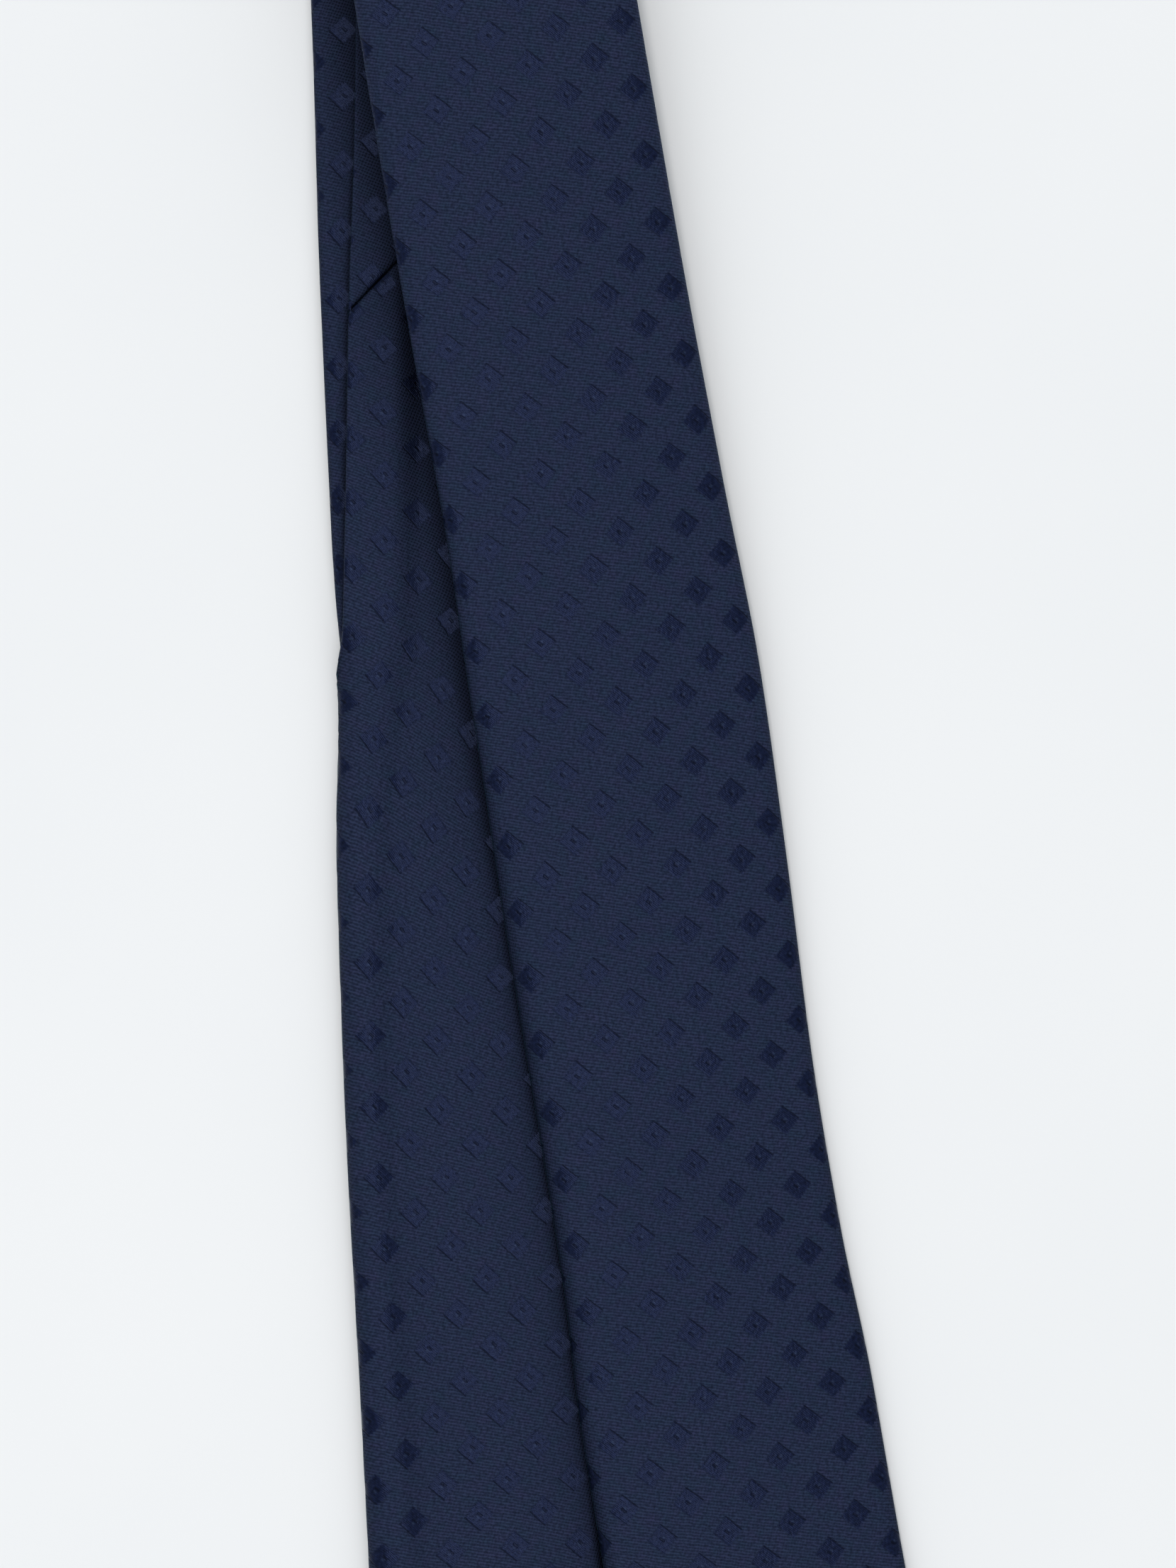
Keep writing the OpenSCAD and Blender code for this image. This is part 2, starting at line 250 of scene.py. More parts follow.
def stack(v):
    """Where the flaps overlap, how far the under one sinks and the upper one stands up, and
    the radius of the upper one's folded edge. It is puffed up along the tail's upper part."""
    left_x, right_x = flap_ends(v)
    both = np.clip((left_x - right_x) / OVERLAP, 0, 1)
    puffed = smoothstep(-560, -480, v) * smoothstep(5, -15, v)
    sunk, lift, fold_r = 0.45 - 0.4 * puffed, 0.1 + 1.1 * puffed, LAYER / 2 + 0.28 * puffed
    return both * sunk, both * lift, fold_r


HEM_COLS, TURN_COLS, MAIN_COLS = 4, 5, 104       # columns in a hem, in its fold, and between


def section(v, half, roll):
    """One row of the cloth, from the hem of the left flap to the hem of the right flap:
    x and z in the strip, and the cloth's u."""
    x, z, nx, nz, s = tube(half, v)
    total = s[-1]
    left_x, right_x = flap_ends(v)
    start = float(-left_x + roll)
    end = float(total - right_x + roll)

    # The columns crowd together at the edge rolls and near the flaps
    fine = np.linspace(start, end, 700)
    wrapped = np.mod(fine, total)
    near_edge = smoothstep(half - 4.5, half - 2, np.abs(np.interp(wrapped, s, x)))
    near_flap = smoothstep(end - 16, end - 12, fine) + 1 - smoothstep(start + 9, start + 12, fine)
    density = 0.35 + 1.6 * near_edge + 0.5 * near_flap
    spent = np.concatenate([[0], np.cumsum((density[1:] + density[:-1]) / 2)])
    main = np.interp(np.linspace(0, spent[-1], MAIN_COLS), spent, fine)

    def over(at):
        """1 on the right flap, where it lies over the left one."""
        return smoothstep(end - 13, end - 7.5, at)

    def under(at):
        """1 on the left flap, where it lies under the right one."""
        return 1 - smoothstep(start + 9, start + 14, at)

    # Five stretches: left hem, its fold, the cloth between, the right hem's fold, right hem
    narrow = 10                      # below this half width the layers get thinner
    layer = LAYER * min(1, half / narrow)
    sunk, lift, fold_r = stack(v)
    if half < narrow:
        fold_r = layer / 2
    turn = np.linspace(0, math.pi, TURN_COLS + 2)[1:-1]
    hem_in = np.linspace(min(HEM, max(1.0, half * 0.45)), 0, HEM_COLS)
    around = np.concatenate([
        start + hem_in, start - layer / 2 * np.sin(turn), main,
        end + fold_r * np.sin(turn), end - hem_in[::-1]])
    out = np.concatenate([
        np.full(HEM_COLS, -layer - sunk), -sunk - layer / 2 * (1 + np.cos(turn)),
        lift * over(main) - sunk * under(main),
        lift - fold_r * (1 - np.cos(turn)), np.full(HEM_COLS, lift - 2 * fold_r)])
    cloth = np.concatenate([
        start - hem_in - layer, start - layer * (1 - turn / math.pi), main,
        end + fold_r * turn, end + fold_r * math.pi + hem_in[::-1]]) - roll - total / 2
    at = np.mod(around, total)
    # Where the seam has rolled onto the table, the tube gives way instead of the flap
    if v < 0:
        yielding = np.maximum(over(around), 0.3 * under(around))
        out = out - lift * yielding * np.clip(-np.interp(at, s, nz), 0, 1)
    return (np.interp(at, s, x) + np.interp(at, s, nx) * out,
            np.interp(at, s, z) + np.interp(at, s, nz) * out, cloth)


# Small waves that run along the tie: height, length over 2 pi and phase
RIPPLES = ((0.12, 23, 1.3), (0.08, 9.5, 0), (0.05, 5.1, 0.7))


def build_table():
    """World points, u and the skew of the grain of every column at every millimetre of v."""
    rolls = np.where(V < 0, tail_roll(-V), 0)
    rows = [section(v, max(half, TIP_HALF_W), roll) for v, half, roll in zip(V, HALF_W, rolls)]
    x, z, u = (np.array(column) for column in zip(*rows))
    # Where the tube is rolled more and more along its length, the grain slants with it
    window = np.hanning(141)
    rolling = np.convolve(np.gradient(rolls), window / window.sum(), "same")
    skew = rolling[:, None] * 1.8 * np.clip(u, 0, None) * smoothstep(0, 30, u)
    # Only the face that is up is wavy
    ripple = sum(size * np.sin(V / length + phase) for size, length, phase in RIPPLES)
    wave = ripple[:, None] * np.cos(x / 7 + V[:, None] / 31) * 0.5
    face = 0.6                       # beyond this height above or below the strip's middle
    z = z + wave * ((z > face) & (V[:, None] < BEND)) - wave * ((z < -face) & (V[:, None] > BEND))
    points = CENTRE[:, None] + x[..., None] * ACROSS[:, None] + z[..., None] * BACK[:, None]
    return points, u, skew


TABLE, TABLE_U, SKEW = build_table()


def nearest_row(v):
    """Row of the table that is nearest to each v."""
    return np.clip(np.round(v - V[0]).astype(int), 0, len(V) - 1)


def along_column(rows, columns):
    """World points and u for fractional v, one row of v per row of the grid."""
    at = np.clip((rows - V[0]), 0, len(V) - 1.001)
    i = at.astype(int)
    t = at - i
    p = TABLE[i, columns] * (1 - t)[..., None] + TABLE[i + 1, columns] * t[..., None]
    u = TABLE_U[i, columns] * (1 - t) + TABLE_U[i + 1, columns] * t
    return p, u


# ---------------------------------------------------------------- meshes

def new_mesh(name, points, faces, material, uv=None):
    """A smooth object from points in millimetres; uv is one (u, v) for each point."""
    mesh = bpy.data.meshes.new(name)
    mesh.from_pydata((np.asarray(points) * MM).tolist(), [], faces)
    if uv is not None:
        layer = mesh.uv_layers.new(name="cloth")
        corners = np.zeros(len(mesh.loops), dtype=np.int32)
        mesh.loops.foreach_get("vertex_index", corners)
        layer.data.foreach_set("uv", (np.asarray(uv)[corners] * MM).ravel())
    mesh.polygons.foreach_set("use_smooth", [True] * len(mesh.polygons))
    mesh.materials.append(material)
    mesh.update()
    piece = bpy.data.objects.new(name, mesh)
    bpy.context.scene.collection.objects.link(piece)
    return piece


def grid_faces(rows, columns, closed=False, start=0):
    """Quads of a grid; closed joins the last column to the first."""
    faces = []
    for i in range(rows - 1):
        for j in range(columns if closed else columns - 1):
            k = (j + 1) % columns
            faces.append((start + (i + 1) * columns + j, start + (i + 1) * columns + k,
                          start + i * columns + k, start + i * columns + j))
    return faces


def thicken(piece, thickness, offset=-1):
    """Give a sheet its thickness and keep the result as the piece's own mesh."""
    solid = piece.modifiers.new("thickness", "SOLIDIFY")
    solid.thickness = thickness * MM
    solid.offset = offset
    solid.use_rim = True
    graph = bpy.context.evaluated_depsgraph_get()
    mesh = bpy.data.meshes.new_from_object(piece.evaluated_get(graph))
    piece.modifiers.clear()
    old, piece.data = piece.data, mesh
    bpy.data.meshes.remove(old)
    return piece


def set_declared(piece, nodes, body=None, joint=None):
    """Hide the CAD parts a piece stands for and hang it on the body it moves with. A piece given a
    joint, (body, body, start, end), is only fixed where it is; the joint's bodies and ends are not
    used.
    """
    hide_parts(*nodes)
    if joint:
        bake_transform(piece)
    else:
        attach(piece, body)


# ---------------------------------------------------------------- materials

LATTICE_A = (5.80, 6.16)         # from one woven diamond to the next, in (u, v) millimetres
LATTICE_B = (-5.62, 5.55)
MOTIF = 3.7                      # side of a diamond
RIB = 0.53                       # twill rib to rib
RIB_ANGLE = math.radians(16.4)
YARN = 0.5                       # dot to dot along a rib
YARN_TURN = math.radians(96)
FLOAT = 0.3                      # satin yarn to satin yarn in a diamond


class Nodes:
    """A little help to write node trees as sums."""

    def __init__(self, material):
        material.use_nodes = True
        self.tree = material.node_tree
        self.tree.nodes.clear()

    def add(self, kind, **settings):
        node = self.tree.nodes.new(kind)
        for key, value in settings.items():
            setattr(node, key, value)
        return node

    def link(self, a, b):
        self.tree.links.new(a, b)

    def math(self, operation, *values, clamp=False):
        node = self.add("ShaderNodeMath", operation=operation, use_clamp=clamp)
        for socket, value in zip(node.inputs, values):
            if isinstance(value, (int, float)):
                socket.default_value = value
            else:
                self.link(value, socket)
        return node.outputs[0]

    def mix(self, factor, a, b):
        """Colour a where factor is 0, and b where it is 1."""
        node = self.add("ShaderNodeMix", data_type="RGBA")
        for socket, value in ((node.inputs[0], factor), (node.inputs[6], a), (node.inputs[7], b)):
            if isinstance(value, (int, float, tuple)):
                socket.default_value = value
            else:
                self.link(value, socket)
        return node.outputs[2]

    def noise(self, vector, scale, detail=2.0):
        node = self.add("ShaderNodeTexNoise")
        node.inputs["Scale"].default_value = scale
        node.inputs["Detail"].default_value = detail
        self.link(vector, node.inputs["Vector"])
        return node.outputs["Fac"]

    def below(self, value, edge, soft):
        """1 where value is under edge, falling to 0 over soft."""
        node = self.add("ShaderNodeMapRange", interpolation_type="SMOOTHSTEP")
        self.link(value, node.inputs["Value"])
        for name, number in (("From Min", edge - soft), ("From Max", edge + soft),
                             ("To Min", 1), ("To Max", 0)):
            node.inputs[name].default_value = number
        return node.outputs["Result"]

    def within(self, value, middle, half, soft):
        """1 where value is within half of middle, falling to 0 over soft."""
        if middle:
            value = self.math("SUBTRACT", value, middle)
        return self.below(self.math("ABSOLUTE", value), half, soft)

    def openness(self, distance):
        """How much light reaches a point past what stands within distance of it, in metres."""
        node = self.add("ShaderNodeAmbientOcclusion", samples=4)
        node.inputs["Distance"].default_value = distance
        return node.outputs["AO"]


def rgb(r, g, b):
    """An sRGB colour of 0 to 255, as linear RGBA."""
    return tuple(c / 12.92 if c <= 0.04045 else ((c + 0.055) / 1.055) ** 2.4
                 for c in (r / 255, g / 255, b / 255)) + (1.0,)


def tie_silk():
    material = bpy.data.materials.new("tie_silk")
    n = Nodes(material)
    uv = n.add("ShaderNodeUVMap", uv_map="cloth").outputs[0]
    split = n.add("ShaderNodeSeparateXYZ")
    n.link(uv, split.inputs[0])
    u, v = split.outputs[0], split.outputs[1]
    # The yarns lie a little loose
    for scale, amount in ((90, 0.0005), (800, 0.0002)):
        loose = n.add("ShaderNodeTexNoise", noise_dimensions="2D")
        loose.inputs["Scale"].default_value = scale
        n.link(uv, loose.inputs["Vector"])
        shift = n.add("ShaderNodeSeparateXYZ")
        n.link(loose.outputs["Color"], shift.inputs[0])
        u = n.math("MULTIPLY_ADD", n.math("SUBTRACT", shift.outputs[0], 0.5), amount, u)
        v = n.math("MULTIPLY_ADD", n.math("SUBTRACT", shift.outputs[1], 0.5), amount, v)

    # Place in the lattice of woven diamonds
    (ax, ay), (bx, by) = LATTICE_A, LATTICE_B
    area = (ax * by - ay * bx) * MM
    step_a = n.math("SUBTRACT", n.math("MULTIPLY", u, by / area), n.math("MULTIPLY", v, bx / area))
    step_b = n.math("SUBTRACT", n.math("MULTIPLY", v, ax / area), n.math("MULTIPLY", u, ay / area))
    cell_a, cell_b = (
        n.math("MULTIPLY", n.math("SUBTRACT", n.math("FRACT", step), 0.5), length)
        for step, length in ((step_a, math.hypot(ax, ay)), (step_b, math.hypot(bx, by))))

    # The floats of a diamond end in steps on two of its sides
    teeth = n.math("PINGPONG", cell_b, 0.3)
    side_a = n.math("ADD", n.math("ABSOLUTE", cell_a), teeth)
    side_b = n.math("ABSOLUTE", cell_b)
    motif = n.math("MULTIPLY", n.below(side_a, MOTIF / 2 + 0.15, 0.2),
                   n.below(side_b, MOTIF / 2, 0.12))

    # The eye in the middle of a diamond with a small painted highlight beside it, and the ditches
    # along the two straight sides, of which one gets painted shade as if its wall were turned from
    # the light
    eye = n.math("MULTIPLY", n.within(cell_a, 0, 0.5, 0.15), n.within(cell_b, 0.15, 0.2, 0.1))
    painted_glint = n.math("MULTIPLY", n.within(cell_a, 0, 0.25, 0.15), n.within(cell_b, -0.35, 0.15, 0.12))
    ditch = n.math("MULTIPLY", n.within(side_b, MOTIF / 2, 0.1, 0.09),
                   n.within(cell_a, 0, MOTIF / 2, 0.15))
    shaded_ditch = n.math("MULTIPLY", ditch, n.below(cell_b, 0, 0.2))

    # Twill ribs, broken into the dots of single yarns, and the long floats of a diamond
    def wave(direction, pitch):
        turn = 2 * math.pi / (pitch * MM)
        across = n.math("ADD", n.math("MULTIPLY", u, -math.sin(direction) * turn),
                        n.math("MULTIPLY", v, math.cos(direction) * turn))
        return n.math("SINE", across)
    rib = wave(RIB_ANGLE, RIB)
    yarn = wave(RIB_ANGLE + YARN_TURN, YARN)
    floats = wave(math.atan2(ay, ax), FLOAT)
    slub = n.noise(uv, 1800)
    cloudy = n.noise(uv, 60)

    # Painted shade: where little light reaches down between the layers, the weave's contrast in
    # the colour is raised
    openness, gap_above = n.openness(0.015), n.openness(0.004)
    contrast = n.math("MULTIPLY_ADD", n.math("POWER", openness, 7.0), -1.3, 1.85)
    dotted = n.math("MULTIPLY", contrast, 0.28)
    gap = n.math("SUBTRACT", n.math("SUBTRACT", 1, dotted), n.math("MULTIPLY", yarn, dotted))
    sunken = n.math("MULTIPLY", n.math("MULTIPLY_ADD", rib, -0.5, 0.5), gap)
    thread_top = n.math("SUBTRACT", 1, sunken)
    weave = n.math("ADD", n.math("MULTIPLY", thread_top, contrast),
                   n.math("MULTIPLY_ADD", contrast, -0.7, 0.72))
    ground_tone = n.math("MULTIPLY", weave, n.math("MULTIPLY_ADD", slub, 2.2, -0.1), clamp=True)

    tint = n.mix(n.noise(uv, 420), rgb(73, 69, 100), rgb(54, 74, 90))
    ground = n.mix(ground_tone, rgb(11, 13, 26), tint)
    ground = n.mix(n.math("MULTIPLY", cloudy, 0.25), ground, rgb(34, 50, 70))
    satin_tone = n.math("MULTIPLY_ADD", floats, 0.1, n.math("MULTIPLY_ADD", slub, 1.8, -0.4))
    satin = n.mix(satin_tone, rgb(13, 18, 36), rgb(40, 48, 76))
    colour = n.mix(motif, ground, satin)
    # Painted highlight: a small bright spot beside each eye lightens the colour
    colour = n.mix(n.math("MULTIPLY", painted_glint, 0.25), colour, rgb(84, 98, 118))
    # Painted shade on one ditch of each diamond, darkened together with the eye towards near-black
    shade_and_eye = n.math("MULTIPLY", n.math("MAXIMUM", shaded_ditch, eye), 0.75)
    colour = n.mix(shade_and_eye, colour, rgb(8, 10, 22))
    # Painted shade: the colour is darkened towards near-black in crevices, in narrow gaps and
    # under the blade's edge, less on the diamonds than on the ground
    lit = n.math("MULTIPLY", n.math("POWER", openness, n.math("MULTIPLY_ADD", motif, -1.2, 2.8)),
                 n.math("POWER", gap_above, 1.6))
    colour = n.mix(lit, rgb(2, 3, 8), colour)

    # Diamonds lie below the ribs
    ribs_up = n.math("MULTIPLY", n.math("SUBTRACT", 1, motif),
                     n.math("MULTIPLY_ADD", thread_top, 0.9, 0.5))
    satin_up = n.math("MULTIPLY", motif, n.math("MULTIPLY_ADD", floats, 0.08, slub))
    cut_down = n.math("MULTIPLY", n.math("MAXIMUM", ditch, eye), 0.5)
    height = n.math("SUBTRACT", n.math("ADD", ribs_up, satin_up), cut_down)
    bump = n.add("ShaderNodeBump")
    bump.inputs["Strength"].default_value = 0.8
    bump.inputs["Distance"].default_value = 0.0001
    n.link(height, bump.inputs["Height"])

    shader = n.add("ShaderNodeBsdfPrincipled")
    n.link(colour, shader.inputs["Base Color"])
    n.link(n.math("MULTIPLY_ADD", motif, -0.3, 0.6), shader.inputs["Roughness"])
    n.link(bump.outputs[0], shader.inputs["Normal"])
    shader.inputs["Specular IOR Level"].default_value = 0.42
    shader.inputs["Specular Tint"].default_value = (0.5, 0.6, 1.0, 1)
    shader.inputs["Sheen Weight"].default_value = 0.18
    shader.inputs["Sheen Roughness"].default_value = 0.3
    shader.inputs["Sheen Tint"].default_value = rgb(110, 165, 185)
    output = n.add("ShaderNodeOutputMaterial")
    n.link(shader.outputs[0], output.inputs[0])
    return material


def woven(name, light, dark, pitch, roughness, fuzz=0.0, relief=0.06):
    """A plain cloth: two sets of threads at right angles, with a little unevenness. Pitch
    and relief are in millimetres."""
    material = bpy.data.materials.new(name)
    n = Nodes(material)
    uv = n.add("ShaderNodeUVMap", uv_map="cloth").outputs[0]
    split = n.add("ShaderNodeSeparateXYZ")
    n.link(uv, split.inputs[0])
    turn = 2 * math.pi / (pitch * MM)
    warp = n.math("SINE", n.math("MULTIPLY", split.outputs[0], turn))
    weft = n.math("SINE", n.math("MULTIPLY", split.outputs[1], turn))
    weave = n.math("MULTIPLY_ADD", n.math("MULTIPLY", warp, weft), 0.5, 0.5)
    uneven = n.noise(uv, 700, 4)
    tone = n.math("MULTIPLY_ADD", weave, 0.55, n.math("MULTIPLY", uneven, 0.45), clamp=True)
    shader = n.add("ShaderNodeBsdfPrincipled")
    n.link(n.mix(tone, dark, light), shader.inputs["Base Color"])
    n.link(n.math("MULTIPLY_ADD", uneven, 0.2, roughness - 0.1), shader.inputs["Roughness"])
    bump = n.add("ShaderNodeBump")
    bump.inputs["Strength"].default_value = 0.6
    bump.inputs["Distance"].default_value = relief * MM
    n.link(n.math("ADD", weave, uneven), bump.inputs["Height"])
    n.link(bump.outputs[0], shader.inputs["Normal"])
    shader.inputs["Sheen Weight"].default_value = fuzz
    shader.inputs["Sheen Roughness"].default_value = 0.5
    output = n.add("ShaderNodeOutputMaterial")
    n.link(shader.outputs[0], output.inputs[0])
    return material


def table_top():
    material = bpy.data.materials.new("table_top")
    n = Nodes(material)
    place = n.add("ShaderNodeNewGeometry").outputs["Position"]
    mottle = n.noise(place, 9, 3)
    shader = n.add("ShaderNodeBsdfPrincipled")
    n.link(n.mix(mottle, rgb(241, 240, 242), rgb(247, 245, 246)), shader.inputs["Base Color"])
    shader.inputs["Roughness"].default_value = 0.75
    output = n.add("ShaderNodeOutputMaterial")
    n.link(shader.outputs[0], output.inputs[0])
    return material


SILK = tie_silk()
WOOL = woven("wool_interlining", rgb(226, 219, 200), rgb(190, 180, 158), 0.9, 0.9, fuzz=0.4,
             relief=0.2)
LINING = woven("tipping_satin", rgb(34, 40, 70), rgb(18, 22, 44), 0.22, 0.42)
THREAD = woven("silk_thread", rgb(48, 58, 96), rgb(22, 28, 56), 0.12, 0.5)
LABEL = woven("label_satin", rgb(44, 52, 88), rgb(26, 32, 60), 0.3, 0.45)
TAPE = woven("care_tape", rgb(238, 238, 234), rgb(214, 214, 208), 0.28, 0.6)


# ---------------------------------------------------------------- camera, light and table

VIEW_LEAN = math.radians(6.05)   # the view is turned against the tie's own middle line
VIEW_AT = (FOLD_X + 8.79, FOLD_Y - 260.5)
VIEW_TALL = 276.5                # height of the view on the table
CAMERA_UP = 620
SENSOR = 36
FLOOR = -0.05                    # the table is a hair under the tie


def add_camera():
    camera = bpy.data.cameras.new("camera")
    camera.sensor_fit = "VERTICAL"
    camera.sensor_height = SENSOR
    camera.lens = SENSOR * CAMERA_UP / VIEW_TALL
    camera.clip_start = 0.01
    seat = bpy.data.objects.new("camera", camera)
    seat.location = (VIEW_AT[0] * MM, VIEW_AT[1] * MM, CAMERA_UP * MM)
    seat.rotation_euler = (0, 0, -VIEW_LEAN)
    bpy.context.scene.collection.objects.link(seat)
    bpy.context.scene.camera = seat


def add_light(name, at, aim, size, power, tint):
    """A rectangular lamp; places and sizes are in metres."""
    lamp = bpy.data.lights.new(name, "AREA")
    lamp.shape = "RECTANGLE"
    lamp.size, lamp.size_y = size
    lamp.energy = power
    lamp.color = tint
    seat = bpy.data.objects.new(name, lamp)
    seat.location = at
    seat.rotation_euler = (Vector(aim) - Vector(at)).to_track_quat("-Z", "Y").to_euler()
    bpy.context.scene.collection.objects.link(seat)


def add_surroundings():
    add_light("softbox", (-0.1, 0.13, 1.5), (-0.1, 0.13, 0), (0.4, 2.0), 6.5, (1.0, 0.98, 0.95))
    world = bpy.data.worlds.new("room")
    world.use_nodes = True
    backdrop = world.node_tree.nodes["Background"]
    backdrop.inputs["Color"].default_value = (0.92, 0.98, 1.0, 1)
    backdrop.inputs["Strength"].default_value = 0.5
    bpy.context.scene.world = world
    bpy.context.scene.view_settings.view_transform = "Standard"
    bpy.context.scene.view_settings.look = "High Contrast"
    size = 3000
    corners = [(x * size, y * size, FLOOR) for x, y in ((-1, -1), (1, -1), (1, 1), (-1, 1))]
    new_mesh("table", corners, [(0, 1, 2, 3)], table_top())


# ---------------------------------------------------------------- shells

COLUMNS = 2 * HEM_COLS + 2 * TURN_COLS + MAIN_COLS
ALL_COLUMNS = np.arange(COLUMNS)
TAIL_SEAM = -134                 # v of each bias seam at the middle of the front
BLADE_SEAM = BEND + 85
SEAM_SLOPE = LATTICE_B[1] / -LATTICE_B[0]     # a bias seam follows the weave
HINGES = (-TAIL_HINGE, BEND + BLADE_HINGE)

# Rows beside a sewn end: how far they are from it, and how deep they are tucked in
SEAM_ROWS = np.array([0, 0, 0.35, 0.8, 1.4, 2.2, 3.2])
SEAM_TUCK = np.array([0.75, 0.5, 0.28, 0.12, 0.04, 0, 0])


def seam_line(at_middle):
    """v of a bias seam in every column: the cut follows one set of the cloth's yarns."""
    v = np.full(COLUMNS, float(at_middle))
    for _ in range(6):
        v = at_middle - SEAM_SLOPE * along_column(v, ALL_COLUMNS)[1]
    return v


def shell(name, first, last, step=3.2, seams=(True, True), shift=(0, 0)):
    """Cloth between two lines of v, one value for each column. A sewn end is turned in, and
    shift is where the pattern happened to lie when the piece was cut."""
    head, foot = ((SEAM_ROWS, SEAM_TUCK) if sewn else (SEAM_ROWS[1:], 0 * SEAM_TUCK[1:])
                  for sewn in seams)
    length = np.abs(last - first).mean()
    margin = 5                       # at each end, where the rows above take over
    inner = np.linspace(margin, length - margin, max(3, int(length / step)))
    for hinge in HINGES:
        at = abs(hinge - first.mean())
        if np.sort([first.mean(), hinge, last.mean()])[1] == hinge:
            inner = np.union1d(inner, np.arange(at - 22, at + 22, 1.2))
    share = np.concatenate([head[0], inner, length - foot[0][::-1]]) / length
    depth = np.concatenate([head[1], 0 * inner, foot[1][::-1]])
    rows = first[None] + share[:, None] * (last - first)[None]
    columns = np.broadcast_to(ALL_COLUMNS, rows.shape)
    points, u = along_column(rows, columns)
    points = points + inward_normals(rows, columns) * depth[:, None, None]
    grain = SKEW[nearest_row(rows), columns]
    # Inside a point the cloth is folded along its slanting edges, which mirrors the grain
    square = np.where(rows < BEND / 2, tail_half_w(-rows), blade_half_w(rows - BEND))
    past = np.clip(np.abs(u) - widths(rows), 0, None) * smoothstep(0, 1.5, square - widths(rows))
    uv = np.stack([u - np.sign(u) * past, rows + grain + np.sign(rows) * past], axis=2)
    piece = new_mesh(name, points.reshape(-1, 3), grid_faces(len(share), COLUMNS), SILK,
                     (uv + np.array(shift)).reshape(-1, 2))
    return thicken(piece, CLOTH)


def inward_normals(rows, columns):
    """From the surface towards the middle of the strip, on each side of it."""
    i = nearest_row(rows)
    offset = TABLE[i, columns] - CENTRE[i]
    side = np.sign((offset * BACK[i]).sum(axis=2, keepdims=True))
    return -side * BACK[i]


def on_strip(v, x, z):
    """World points from places along the tie, offsets across it and offsets out of its back."""
    v, x, z = np.broadcast_arrays(*(np.asarray(a, float) for a in (v, x, z)))
    at = np.clip(v - V[0], 0, len(V) - 1.001)
    i, t = at.astype(int), (at % 1)[..., None]
    parts = [rows[i] * (1 - t) + rows[i + 1] * t for rows in (CENTRE, ACROSS, BACK)]
    return parts[0] + x[..., None] * parts[1] + z[..., None] * parts[2]


def layer_sheet(name, v_rows, half_rows, z, thickness, material, columns=25):
    """A flat inner layer, as wide as half_rows says, at height z in the strip."""
    v = np.repeat(np.asarray(v_rows, float)[:, None], columns, axis=1)
    x = np.asarray(half_rows)[:, None] * np.linspace(-1, 1, columns)[None]
    points = on_strip(v, x, z + droop(v, x, np.maximum(widths(v), TIP_HALF_W)))
    uv = np.stack([x, v], axis=2)
    piece = new_mesh(name, points.reshape(-1, 3), grid_faces(len(v_rows), columns), material,
                     uv.reshape(-1, 2))
    return thicken(piece, thickness, offset=0)


def interlining(name, v0, v1):
    """Wool cut a little narrower than the tie, running into the point."""
    narrower, z, thickness = 2.2, -0.3, 0.9
    v = np.linspace(v0, v1, max(12, int((v1 - v0) / 4)))
    for hinge in HINGES:
        if v0 < hinge < v1:
            v = np.union1d(v, np.arange(hinge - 12, hinge + 12, 1.0))
    half = np.maximum(widths(v) - narrower, 0.4)
    return layer_sheet(name, v, half, z, thickness, WOOL)


def tipping(name, on_blade):
    """Lining inside the point, tucked under the flaps all round the diamond."""
    length, tack, widest = (
        (BLADE_LEN, BLADE_TACK, blade_half_w(BLADE_SHOULDER)) if on_blade
        else (TAIL_LEN, TAIL_TACK, tail_half_w(TAIL_SHOULDER)))
    tuck, z, thickness = 4, 0.52, 0.2
    top, low = length - tack - tuck, length - HEM * math.sqrt(2) + tuck
    side = float(widest) - HEM + tuck
    d = np.linspace(top + 0.3, low - 0.3, 40)
    half = np.minimum(side * (d - top) / (low - side - top), low - d)
    v = BEND + d if on_blade else -d
    return layer_sheet(name, v, half, z, thickness, LINING, columns=31)


def threads(name, segments, body, radius=0.15):
    """Short rounded stitches, one for each pair of end points, all in one piece."""
    sides = 8
    # Which end each ring is at, how far past it and how wide it is, in radii
    rings = ((0, -0.96, 0.45), (0, -0.32, 0.85), (0, 0, 1),
             (1, 0, 1), (1, 0.32, 0.85), (1, 0.96, 0.45))
    points, faces, uv = [], [], []
    for a, b in segments:
        length = np.linalg.norm(b - a)
        run = (b - a) / length
        side = np.cross(run, (0.3, 0.5, 0.8))
        side /= np.linalg.norm(side)
        other = np.cross(run, side)
        first = len(points)
        for end, beyond, size in rings:
            along = end * length + beyond * radius
            for k in range(sides):
                angle = 2 * math.pi * k / sides
                outward = side * math.cos(angle) + other * math.sin(angle)
                points.append(a + run * along + radius * size * outward)
                uv.append((angle * radius, along))
        faces += grid_faces(len(rings), sides, closed=True, start=first)
        faces.append(tuple(first + k for k in range(sides)))
        faces.append(tuple(len(points) - sides + k for k in reversed(range(sides))))
    piece = new_mesh(name + "_thread", points, faces, THREAD, uv)
    set_declared(piece, [name], body=body)
    return piece


def slip_stitches(v0, v1, pitch=10, long=6):
    """Hand stitches that run along the tie inside the folded edge of the upper flap."""
    folded = np.array([COLUMNS - HEM_COLS - TURN_COLS - 1, COLUMNS - HEM_COLS])

    def place(v):
        return along_column(np.full(2, v), folded)[0].mean(axis=0) - 0.1 * ACROSS[int(v - V[0])]
    return [(place(v), place(v + long)) for v in np.arange(v0, v1 - long, pitch)]


